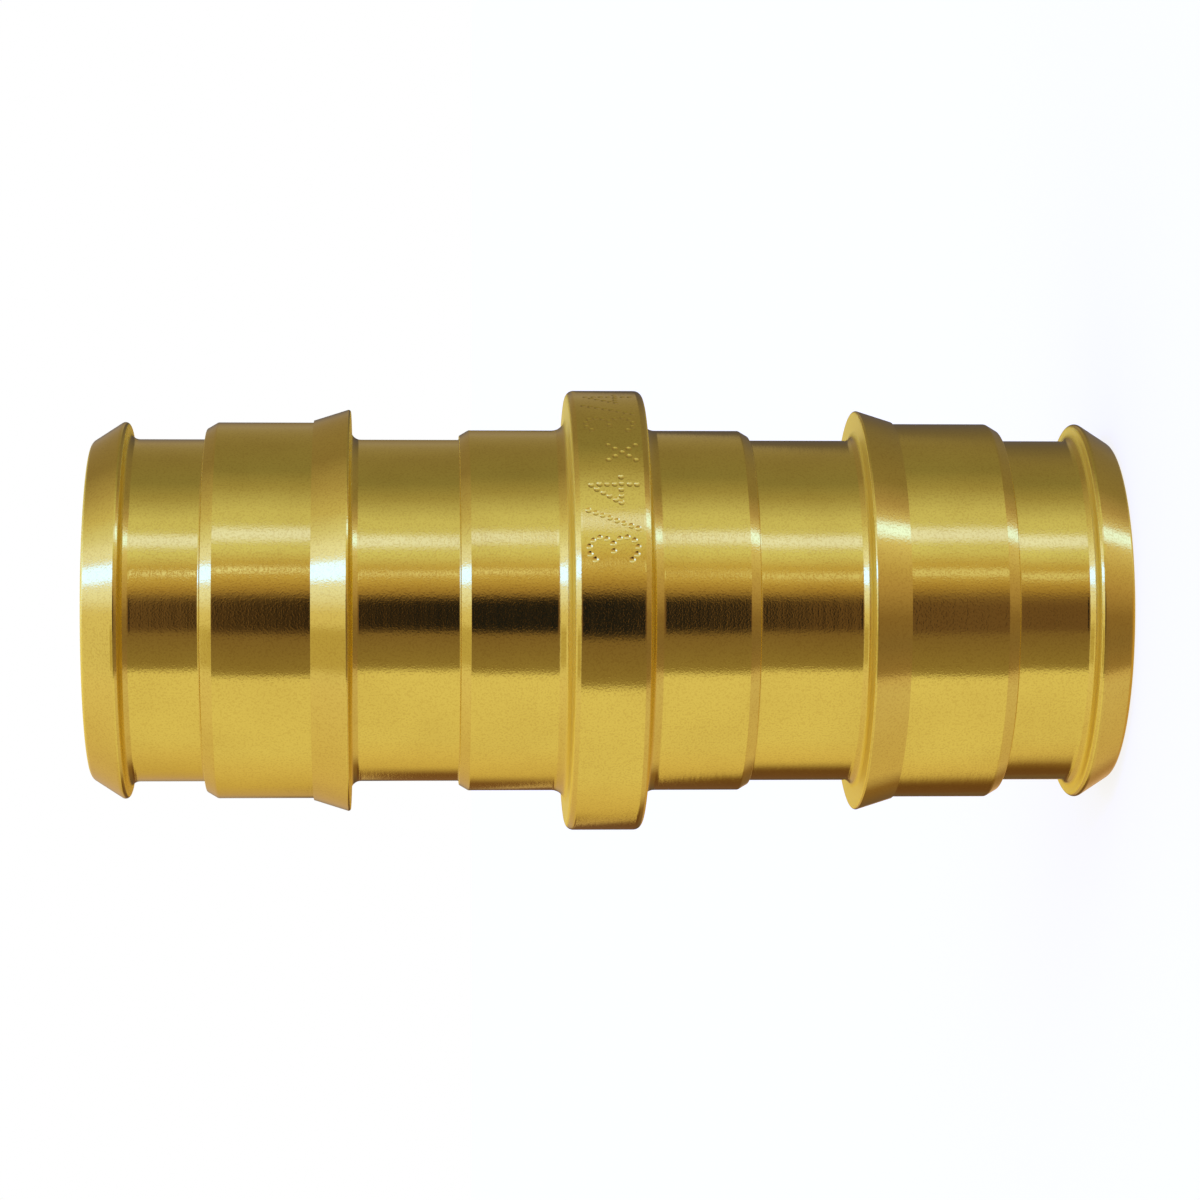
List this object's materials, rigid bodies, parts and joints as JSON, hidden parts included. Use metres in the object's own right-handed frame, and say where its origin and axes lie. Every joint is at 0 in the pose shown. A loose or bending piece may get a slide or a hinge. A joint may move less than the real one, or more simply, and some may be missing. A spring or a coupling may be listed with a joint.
{
  "type": "barbed pipe coupling",
  "caption": "Straight turned brass coupling for expanded plastic pipe, with a plain collar between mirrored spigots that have lands, relief grooves, barbs and nose cones.",
  "frame": {"origin": "centre of the lower end face, where the part stands", "axes": "+Z along the waterway from the lower end face to the upper one; X and Y are free, because the part is turned"},
  "size_m": [0.0248, 0.0248, 0.0571],
  "materials": {
    "brass": "turned, lightly dulled"
  },
  "bodies": {
    "root": {"coupling_body": "brass"}
  },
  "joints": []
}
